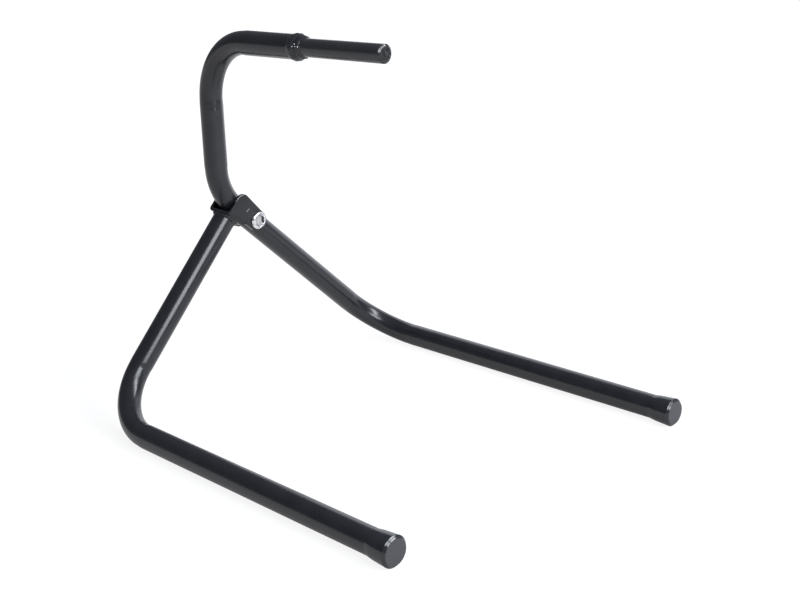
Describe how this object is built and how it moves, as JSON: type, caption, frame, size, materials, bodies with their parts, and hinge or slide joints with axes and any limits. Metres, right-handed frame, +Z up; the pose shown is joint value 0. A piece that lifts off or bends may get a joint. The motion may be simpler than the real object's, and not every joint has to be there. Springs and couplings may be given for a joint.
{
  "type": "bicycle bottom bracket stand",
  "caption": "Folding bent-tube floor stand that holds a bicycle up by a level pin in its hollow crank axle, with a hinged folding leg and capped floor runs.",
  "frame": {"origin": "on the floor, at the middle of the open stand's footprint", "axes": "+Z up, +X the way the support pin and both floor runs point, +Y towards the fixed floor run"},
  "size_m": [0.4133, 0.3734, 0.3567],
  "materials": {
    "black_coat": "satin black powder coat on steel tube",
    "zinc_plate": "bright zinc-plated steel",
    "cap_rubber": "matt moulded rubber",
    "plug_plastic": "matt moulded plastic with a fine grain",
    "washer_plastic": "plain nylon",
    "nylon_ring": "plain nylon"
  },
  "bodies": {
    "stand_frame": {"main_tube": "black_coat", "arm_bush": "black_coat", "arm_weld": "black_coat", "support_pin": "black_coat", "pin_weld": "black_coat", "pin_tip_plug": "plug_plastic", "pivot_sleeve": "zinc_plate", "fixed_foot_cap": "cap_rubber"},
    "folding_side": {"folding_leg": "black_coat", "hinge_bracket": "black_coat", "leg_weld": "black_coat", "pivot_bolt": "zinc_plate", "friction_washer_front": "washer_plastic", "friction_washer_rear": "washer_plastic", "nut_washer": "zinc_plate", "lock_nut": "zinc_plate", "nut_insert": "nylon_ring", "folding_foot_cap": "cap_rubber"}
  },
  "joints": [
    {"name": "leg_fold", "type": "hinge", "parent": "stand_frame", "child": "folding_side", "pos_m": [-0.1779, 0.00294, 0.16703], "axis": [1, 0, 0], "range_deg": [0, 89]}
  ]
}
